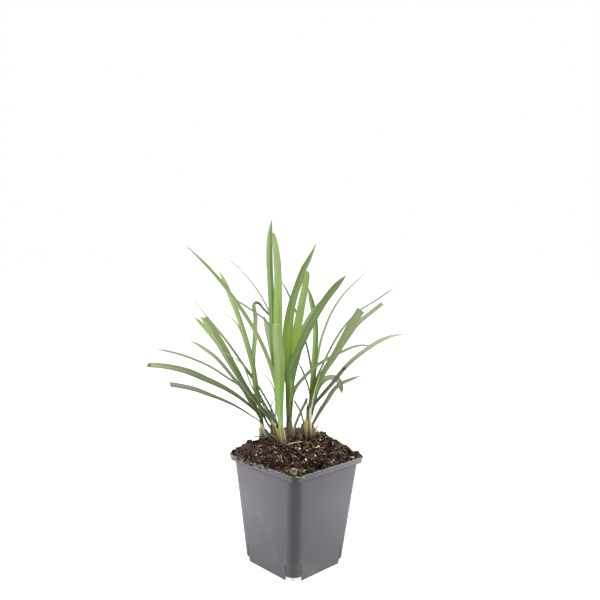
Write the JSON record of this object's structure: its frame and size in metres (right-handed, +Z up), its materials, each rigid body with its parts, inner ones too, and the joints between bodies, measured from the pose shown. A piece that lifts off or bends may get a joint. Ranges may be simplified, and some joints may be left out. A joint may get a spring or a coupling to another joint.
{
  "type": "potted liriope",
  "caption": "Young liriope with narrow arching strap leaves in a square black nursery pot filled with peat, standing on its flat base.",
  "frame": {"origin": "middle of the pot's underside, on the ground", "axes": "+Z up, the pot's sides along X and Y; the front corner is at +X -Y"},
  "size_m": [0.2178, 0.2216, 0.316],
  "materials": {
    "pot_plastic": "satin black recycled plastic, dusty",
    "peat": "damp crumbly peat and bark",
    "leaf_green": "satin ribbed leaf"
  },
  "bodies": {
    "root": {"pot": "pot_plastic", "soil": "peat", "shoot_centre": "leaf_green", "shoot_east": "leaf_green", "shoot_front": "leaf_green", "shoot_midwest": "leaf_green", "shoot_west": "leaf_green"}
  },
  "joints": []
}
